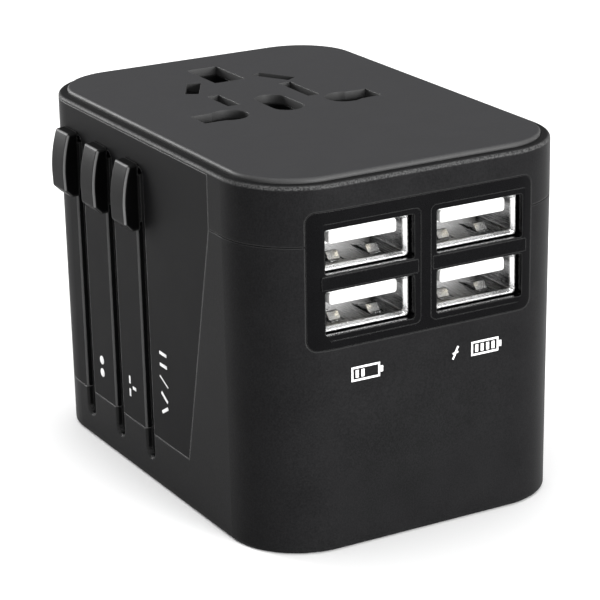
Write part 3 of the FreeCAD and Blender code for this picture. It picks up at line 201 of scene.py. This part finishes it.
def make_drawn_lines():
    """Fine rolling or plating lines, drawn out along the axis whose stretch is small."""
    group, entry, leave = new_group(
        "drawn_lines",
        [("Line Size", "NodeSocketFloat", 0.0001),
         ("Stretch", "NodeSocketVector", (1.0, 0.03, 1.0))],
        [("Height", "NodeSocketFloat"), ("Shade", "NodeSocketFloat")])
    coordinate = add(group, "ShaderNodeTexCoord")
    mapping = add(group, "ShaderNodeMapping")
    group.links.new(coordinate.outputs["Object"], mapping.inputs["Vector"])
    group.links.new(entry.outputs["Stretch"], mapping.inputs["Scale"])
    scale = maths(group, "DIVIDE", 1.0, entry.outputs["Line Size"])
    lines = add(group, "ShaderNodeTexNoise", Detail=3.0, Roughness=0.6)
    group.links.new(mapping.outputs["Vector"], lines.inputs["Vector"])
    group.links.new(scale, lines.inputs["Scale"])
    group.links.new(lines.outputs["Fac"], leave.inputs["Height"])
    group.links.new(ramp(group, lines.outputs["Fac"], *SHADE_SPAN), leave.inputs["Shade"])
    return group


moulded_grain = make_moulded_grain()
edge_wear_and_highlight = make_edge_wear_and_highlight()
facing_band = make_facing_band()
drawn_lines = make_drawn_lines()


# ---------------------------------------------------------------- materials
def start_material(name):
    """A new material with only its Principled BSDF and output."""
    material = bpy.data.materials.new(name)
    material.use_nodes = True
    shader = material.node_tree.nodes["Principled BSDF"]
    return material, material.node_tree, shader


def use_group(tree, group, **values):
    """One of the shared effects, placed in a material with its own values."""
    node = tree.nodes.new("ShaderNodeGroup")
    node.node_tree = group
    for name, value in values.items():
        node.inputs[name.replace("_", " ")].default_value = value
    return node


def blend_colour(tree, mask, low, high):
    """Colour that goes from one to the other with a mask."""
    node = tree.nodes.new("ShaderNodeMix")
    node.data_type = "RGBA"
    node.inputs["A"].default_value = (*low, 1.0)
    node.inputs["B"].default_value = (*high, 1.0)
    tree.links.new(mask, node.inputs["Factor"])
    return node.outputs["Result"]


def tint_over(tree, colour, tone, mask):
    """Lays a grey tone over a colour where the mask is."""
    node = tree.nodes.new("ShaderNodeMix")
    node.data_type = "RGBA"
    tree.links.new(colour, node.inputs["A"])
    node.inputs["B"].default_value = (tone, tone, tone, 1.0)
    tree.links.new(mask, node.inputs["Factor"])
    return node.outputs["Result"]


def moulded_plastic(name, dark, light, rough, grain=0.00016, depth=0.000012, specular=0.3,
                    edge=0.0003, edge_tone=0.05, edge_gain=0.8, sheen_drop=0.08, highlight_bands=()):
    """Moulded plastic: grained, faintly mottled, smoother where it is rubbed, and of another tone at
    its edges, partly wear and partly a painted highlight.

    Each band is (facing, middle, half, tone, sparkle): faces near that angle take its tone as a
    painted highlight, grained by the speckle.
    """
    material, tree, shader = start_material(name)
    texture = use_group(tree, moulded_grain, Grain_Size=grain)
    rub_and_highlight = use_group(tree, edge_wear_and_highlight, Width=edge)
    tone = maths(tree, "ADD", maths(tree, "MULTIPLY", texture.outputs["Mottle"], MOTTLE_TONE),
                 maths(tree, "MULTIPLY", texture.outputs["Speckle"], SPECKLE_TONE))
    # painted highlight, partly wear: the edges take edge_tone
    colour = tint_over(tree, blend_colour(tree, tone, dark, light), edge_tone,
                       maths(tree, "MULTIPLY", rub_and_highlight.outputs["Edge"], edge_gain))
    # painted highlight: faces near each band's angle take its tone, grained by the speckle
    for facing, middle, half, highlight_tone, sparkle in highlight_bands:
        band = use_group(tree, facing_band, Facing=facing, Middle=middle, Half=half)
        highlight_grain = maths(tree, "ADD", maths(tree, "MULTIPLY", texture.outputs["Speckle"], sparkle),
                     1.0 - sparkle)
        colour = tint_over(tree, colour, highlight_tone,
                           maths(tree, "MULTIPLY", band.outputs["Mask"], highlight_grain))
    tree.links.new(colour, shader.inputs["Base Color"])
    wear = maths(tree, "MULTIPLY", rub_and_highlight.outputs["Edge"], sheen_drop)
    uneven = maths(tree, "MULTIPLY", maths(tree, "SUBTRACT", texture.outputs["Mottle"], 0.5),
                   MOTTLE_SHEEN)
    roughness = maths(tree, "SUBTRACT", maths(tree, "ADD", uneven, rough), wear)
    tree.links.new(roughness, shader.inputs["Roughness"])
    bump = add(tree, "ShaderNodeBump", Strength=PLASTIC_BUMP, Distance=depth)
    tree.links.new(texture.outputs["Height"], bump.inputs["Height"])
    tree.links.new(rub_and_highlight.outputs["Normal"], bump.inputs["Normal"])
    tree.links.new(bump.outputs["Normal"], shader.inputs["Normal"])
    shader.inputs["Specular IOR Level"].default_value = specular
    return material


def plated_metal(name, dark, light, rough, stretch=(1.0, 0.03, 1.0), line=0.0001, depth=0.000002,
                 edge=0.00012, lip=None, bent=None):
    """Rolled or plated metal with fine lines and softened edges.

    A lip is (y, reach, tone): painted light, the metal is brighter up to y, and that fades out over
    reach into the port.
    Bent is (facing, half, tone): faces bent that way are brighter, a painted highlight.
    """
    material, tree, shader = start_material(name)
    lines = use_group(tree, drawn_lines, Line_Size=line, Stretch=stretch)
    rub_and_highlight = use_group(tree, edge_wear_and_highlight, Width=edge)
    colour = blend_colour(tree, lines.outputs["Shade"], dark, light)
    if lip:
        place = add(tree, "ShaderNodeTexCoord")
        split = add(tree, "ShaderNodeSeparateXYZ")
        tree.links.new(place.outputs["Object"], split.inputs["Vector"])
        mouth, reach, lip_light_tone = lip
        # painted light: brighter at the port's mouth, fading into the port
        painted_lip_light = ramp(tree, split.outputs["Y"], mouth, mouth + reach, 1.0, 0.0)
        colour = tint_over(tree, colour, lip_light_tone, painted_lip_light)
    if bent:
        facing, half, bent_highlight_tone = bent
        band = use_group(tree, facing_band, Facing=facing, Middle=1.0, Half=half)
        # painted highlight on the faces bent that way
        colour = tint_over(tree, colour, bent_highlight_tone, band.outputs["Mask"])
    tree.links.new(colour, shader.inputs["Base Color"])
    shader.inputs["Metallic"].default_value = 1.0
    vary = maths(tree, "MULTIPLY", lines.outputs["Shade"], SHADE_SHEEN)
    tree.links.new(maths(tree, "ADD", vary, rough), shader.inputs["Roughness"])
    bump = add(tree, "ShaderNodeBump", Strength=METAL_BUMP, Distance=depth)
    tree.links.new(lines.outputs["Height"], bump.inputs["Height"])
    tree.links.new(rub_and_highlight.outputs["Normal"], bump.inputs["Normal"])
    tree.links.new(bump.outputs["Normal"], shader.inputs["Normal"])
    return material


def clear_plastic(name, tint, rough):
    """Clear moulded acrylic or glass with faint flow marks."""
    material, tree, shader = start_material(name)
    texture = use_group(tree, moulded_grain, Grain_Size=FLOW_SIZE)
    tree.links.new(blend_colour(tree, texture.outputs["Mottle"], tint,
                                tuple(FLOW_TINT * part for part in tint)),
                   shader.inputs["Base Color"])
    shader.inputs["Transmission Weight"].default_value = CLEAR_SHARE
    shader.inputs["IOR"].default_value = ACRYLIC_IOR
    tree.links.new(ramp(tree, texture.outputs["Mottle"], 0.0, 1.0, rough, rough + FLOW_SHEEN),
                   shader.inputs["Roughness"])
    return material


port_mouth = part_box("usb_shell_1")[0][1]
LIP_SETBACK = 0.0006            # where the painted light at a port's mouth starts to fade
LIP_REACH = 0.0005
finishes = {
    # painted highlight: grainy and lighter on the roundings between top and sides; edges lighter,
    # partly wear
    "shell_black": moulded_plastic("shell_black", (0.0055, 0.0055, 0.0058),
                                   (0.0128, 0.0128, 0.0133), 0.4, grain=0.00022,
                                   depth=0.000016, specular=0.03,
                                   highlight_bands=[(UP, 0.5, 0.45, 0.08, 0.85)]),
    # painted highlight: the hole walls, the roundings and the edges are lighter
    "plate_charcoal": moulded_plastic("plate_charcoal", (0.022, 0.022, 0.0235),
                                      (0.0315, 0.0315, 0.0335), 0.5, grain=0.00012, depth=0.000006,
                                      specular=0.16, edge=0.0002, edge_tone=0.06,
                                      highlight_bands=[(UP, 0.35, 0.6, 0.05, 0.1)]),
    # painted highlight: a light line along every edge, and the slot chamfers lighter
    "panel_black": moulded_plastic("panel_black", (0.003, 0.003, 0.0032),
                                   (0.0085, 0.0085, 0.009), 0.5, specular=0.03,
                                   edge=0.00025, edge_tone=0.3, edge_gain=1.0,
                                   highlight_bands=[(SLIDER_SIDE, 0.71, 0.22, 0.11, 0.2)]),
    # painted highlight: the knobs' front ridges and top edges, and lighter edges
    "knob_black": moulded_plastic("knob_black", (0.0012, 0.0012, 0.0013), (0.0035, 0.0035, 0.0037),
                                  0.38, grain=0.0002, depth=0.000007, specular=0.035,
                                  edge=0.0004, edge_tone=0.12,
                                  highlight_bands=[(SLIDER_CORNER, 1.0, 0.16, 0.22, 0.15),
                                         (SLIDER_TOP, 1.0, 0.1, 0.16, 0.15)]),
    "fascia_smoke": moulded_plastic("fascia_smoke", (0.0008, 0.0008, 0.001),
                                    (0.0026, 0.0026, 0.003), 0.2, depth=0.0000015,
                                    specular=0.05, edge=0.0002, sheen_drop=0.02),
    # painted light at the ports' mouths, and a painted highlight on the tabs bent towards the front
    "port_steel": plated_metal("port_steel", (0.27, 0.27, 0.275), (0.4, 0.4, 0.405), 0.2,
                               lip=(port_mouth + LIP_SETBACK, LIP_REACH, 0.95),
                               bent=(FRONT_TOP, 0.28, 0.95)),
    "tongue_white": moulded_plastic("tongue_white", (0.62, 0.62, 0.61), (0.7, 0.7, 0.69), 0.42,
                                    depth=0.000004, specular=0.4, edge=0.0001, edge_tone=0.9),
    "contact_gold": plated_metal("contact_gold", (0.42, 0.38, 0.3), (0.56, 0.52, 0.42), 0.25),
    "inner_grey": moulded_plastic("inner_grey", (0.003, 0.003, 0.0032), (0.006, 0.006, 0.0064),
                                  0.5, depth=0.000008, specular=0.1, edge_tone=0.012),
    "carriage_black": moulded_plastic("carriage_black", (0.01, 0.01, 0.01),
                                      (0.022, 0.022, 0.022), 0.5, grain=0.00024,
                                      depth=0.00001, specular=0.2),
    "brass": plated_metal("brass", (0.62, 0.42, 0.15), (0.78, 0.56, 0.24), 0.26),
    "pin_nickel": plated_metal("pin_nickel", (0.66, 0.65, 0.62), (0.84, 0.83, 0.8), 0.15,
                               stretch=(1.0, 1.0, 0.03)),
    "sleeve_black": moulded_plastic("sleeve_black", (0.01, 0.01, 0.01), (0.02, 0.02, 0.02), 0.4),
    "screw_steel": plated_metal("screw_steel", (0.4, 0.4, 0.41), (0.58, 0.58, 0.6), 0.25),
    "spring_steel": plated_metal("spring_steel", (0.5, 0.5, 0.52), (0.68, 0.68, 0.7), 0.2),
    "board_green": moulded_plastic("board_green", (0.008, 0.07, 0.025), (0.015, 0.13, 0.05), 0.28,
                                   grain=0.0004, depth=0.00001, specular=0.5),
    "ferrite": moulded_plastic("ferrite", (0.02, 0.02, 0.022), (0.05, 0.05, 0.054), 0.55,
                               grain=0.0003, depth=0.00002),
    "coil_tape": moulded_plastic("coil_tape", (0.6, 0.42, 0.04), (0.78, 0.6, 0.1), 0.25,
                                 grain=0.0006, depth=0.00001, specular=0.5, edge_tone=0.7),
    "can_aluminium": plated_metal("can_aluminium", (0.5, 0.5, 0.52), (0.68, 0.68, 0.7), 0.3,
                                  stretch=(1.0, 1.0, 0.03)),
    "chip_black": moulded_plastic("chip_black", (0.01, 0.01, 0.01), (0.02, 0.02, 0.02), 0.45),
    "clear_guide": clear_plastic("clear_guide", (0.86, 0.89, 0.92), 0.12),
    "fuse_glass": clear_plastic("fuse_glass", (0.86, 0.9, 0.9), 0.04),
    "fuse_clip": plated_metal("fuse_clip", (0.62, 0.44, 0.18), (0.8, 0.6, 0.28), 0.24),
}
ink = moulded_plastic("ink_white", (0.66, 0.66, 0.66), (0.86, 0.86, 0.86), 0.5,
                      grain=0.00025, depth=0.000004, edge=0.00004)

for part in frame["record"]["subparts"]:
    node = nodes[part["node"]]
    node.data.materials.clear()
    node.data.materials.append(finishes[part["material_slot"]])


# ---------------------------------------------------------------- printed marks
def deselect():
    """Leaves nothing selected or active."""
    bpy.ops.object.select_all(action="DESELECT")
    bpy.context.view_layer.objects.active = None


def soften(piece, size):
    """Rounds every edge of the piece."""
    bpy.ops.object.mode_set(mode="EDIT")
    bpy.ops.mesh.select_all(action="SELECT")
    bpy.ops.mesh.bevel(offset=size, segments=2, affect="EDGES")
    bpy.ops.object.mode_set(mode="OBJECT")
    return piece


def bar(x, y, length, width, turn=0.0):
    """A printed stroke with softened corners, lying in the XY plane."""
    deselect()
    bpy.ops.mesh.primitive_cube_add(size=1.0, location=(0, 0, 0))
    piece = bpy.context.active_object
    piece.scale = (length * MM, width * MM, MARK_T)
    bpy.ops.object.transform_apply(location=False, rotation=False, scale=True)
    soften(piece, BAR_ROUND)
    piece.rotation_euler = (0, 0, math.radians(turn))
    piece.location = (x * MM, y * MM, 0)
    bpy.ops.object.transform_apply()
    return piece


def dot(x, y, radius):
    """A printed round dot."""
    deselect()
    bpy.ops.mesh.primitive_cylinder_add(vertices=DOT_SIDES, radius=radius * MM, depth=MARK_T,
                                        location=(x * MM, y * MM, 0))
    piece = soften(bpy.context.active_object, DOT_ROUND)
    bpy.ops.object.transform_apply()
    return piece


def skin_point(name, origin, direction):
    """Where a ray meets a node's surface, and the outward normal there."""
    hit, place, normal, _ = nodes[name].ray_cast(Vector(origin), Vector(direction))
    if not hit:
        raise RuntimeError("no surface of " + name)
    return place, normal


def printed(name, pieces, surface, origin, direction, right):
    """Joins strokes into one mark and lays it on the outer skin where the ray meets it."""
    deselect()
    for piece in pieces:
        piece.select_set(True)
    bpy.context.view_layer.objects.active = pieces[0]
    if len(pieces) > 1:
        bpy.ops.object.join()
    mark = bpy.context.active_object
    mark.name = name
    place, normal = skin_point(surface, origin, direction)
    across = (Vector(right) - normal * normal.dot(Vector(right))).normalized()
    up = normal.cross(across)
    turned = Matrix((across, up, normal)).transposed().to_4x4()
    mark.matrix_world = Matrix.Translation(place + normal * MARK_T * MARK_LIFT) @ turned
    deselect()
    mark.select_set(True)
    bpy.context.view_layer.objects.active = mark
    bpy.ops.object.transform_apply()
    bpy.ops.object.shade_smooth_by_angle(angle=SMOOTH_ANGLE)
    mark.data.materials.clear()
    mark.data.materials.append(ink)
    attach(mark, "root")


def on_slider_side(name, pieces, y, z):
    """Prints a mark on the side that holds the sliders, turned so that its right is down."""
    printed(name, pieces, "slider_side_panel", (RAY_START, y * MM, z * MM), (1, 0, 0), (0, 0, -1))


def on_front(name, pieces, x, z):
    """Prints a mark on the side that holds the ports, upright."""
    printed(name, pieces, "lower_housing", (x * MM, RAY_START, z * MM), (0, 1, 0), (1, 0, 0))


BATTERY_L = 4.2
BATTERY_H = 1.8
STROKE_W = 0.3
TIP_L = 0.42
CELL_PITCH = 0.9
CELL_PLACES = 4
CELL_L = 0.5
CELL_H = 1.1


def charge_bars(count):
    """A small battery outline with some of its bars filled."""
    strokes = [bar(0, side * BATTERY_H / 2, BATTERY_L, STROKE_W) for side in (1, -1)]
    strokes += [bar(side * BATTERY_L / 2, 0, STROKE_W, BATTERY_H + STROKE_W) for side in (-1, 1)]
    strokes.append(bar(BATTERY_L / 2 + TIP_L, 0, TIP_L, BATTERY_H / 2))
    for k in range(count):
        strokes.append(bar((k - (CELL_PLACES - 1) / 2) * CELL_PITCH, 0, CELL_L, CELL_H))
    return strokes


on_slider_side("mark_two_round_pins", [dot(-1.0, 0, 0.68), dot(1.0, 0, 0.68)], 15.85, 12.8)
on_slider_side("mark_three_flat_pins", [bar(0, 0.75, 0.5, 1.1), bar(-1.0, -0.7, 1.2, 0.5),
                                        bar(1.0, -0.7, 1.2, 0.5)], 5.65, 12.75)
on_slider_side("mark_upright_blades", [bar(-0.9, 0, 0.5, 2.2), bar(0.9, 0, 0.5, 2.2)],
               -5.1, 20.4)
on_slider_side("mark_divider", [bar(0, 0, 0.26, 2.8, -25)], -5.1, 17.1)
on_slider_side("mark_slanted_blades", [bar(-1.0, 0, 0.5, 2.2, -30), bar(1.0, 0, 0.5, 2.2, 30)],
               -5.1, 13.7)
on_front("mark_charge_low", charge_bars(2), -9.7, 25.2)
on_front("mark_charge_bolt", [bar(0.18, 0.42, 1.1, 0.3, 62), bar(0, 0, 0.95, 0.28, 12),
                              bar(-0.18, -0.42, 1.1, 0.3, 62)], 4.67, 25.1)
on_front("mark_charge_high", charge_bars(4), 9.5, 25.1)


# ---------------------------------------------------------------- stage, lights, camera
FLOOR_SIZE = 6.0
FLOOR_DROP = 0.00005            # the floor lies this far under the rest face
SKY_STRENGTH = 0.3

deselect()
bpy.ops.mesh.primitive_plane_add(size=FLOOR_SIZE, location=(0, 0, -FLOOR_DROP))
floor = bpy.context.active_object
floor.name = "floor"
paper, paper_tree, paper_shader = start_material("paper_sweep")
paper_grain = use_group(paper_tree, moulded_grain, Grain_Size=0.002, Mottle_Size=0.2)
paper_tree.links.new(blend_colour(paper_tree, paper_grain.outputs["Mottle"], (0.93, 0.93, 0.93),
                                  (0.95, 0.95, 0.95)), paper_shader.inputs["Base Color"])
paper_shader.inputs["Roughness"].default_value = 0.9
paper_shader.inputs["Specular IOR Level"].default_value = 0.1
floor.data.materials.append(paper)

world = bpy.data.worlds.new("studio")
scene.world = world
world.use_nodes = True
sky = world.node_tree.nodes["Background"]
sky.inputs["Color"].default_value = (1.0, 1.0, 1.0, 1.0)
sky.inputs["Strength"].default_value = SKY_STRENGTH


def softbox(name, place, width, height, power, target=(0.0, 0.0, 0.03)):
    """A rectangular studio light aimed at a point."""
    lamp = bpy.data.lights.new(name, "AREA")
    lamp.shape = "RECTANGLE"
    lamp.size = width
    lamp.size_y = height
    lamp.energy = power
    box = bpy.data.objects.new(name, lamp)
    scene.collection.objects.link(box)
    box.location = place
    box.rotation_euler = (Vector(target) - Vector(place)).to_track_quat("-Z", "Y").to_euler()


softbox("light_over", (0.0, 0.1, 1.1), width=1.2, height=1.2, power=13.0)
softbox("light_key", (-0.36, 0.74, 0.22), width=0.22, height=0.3, power=7.0)
softbox("light_front", (0.24, -0.95, 0.2), width=0.5, height=0.3, power=18.0)

CAMERA_TURN = math.radians(-29.314)
CAMERA_RISE = math.radians(18.65)
CAMERA_ROLL = math.radians(-1.06)
CAMERA_PLACE = (-0.17216, -0.30661, 0.14502)
SENSOR_WIDTH = 36.0
LENS_LENGTH = 150.6
SHIFT = (0.003, -0.0325)

lens = bpy.data.cameras.new("camera")
lens.sensor_width = SENSOR_WIDTH
lens.lens = LENS_LENGTH
lens.shift_x, lens.shift_y = SHIFT
camera = bpy.data.objects.new("camera", lens)
scene.collection.objects.link(camera)
aim = (Matrix.Rotation(CAMERA_TURN, 4, "Z") @ Matrix.Rotation(math.pi / 2 - CAMERA_RISE, 4, "X")
       @ Matrix.Rotation(CAMERA_ROLL, 4, "Z"))
camera.matrix_world = Matrix.Translation(CAMERA_PLACE) @ aim
scene.camera = camera
scene.view_settings.view_transform = "Standard"
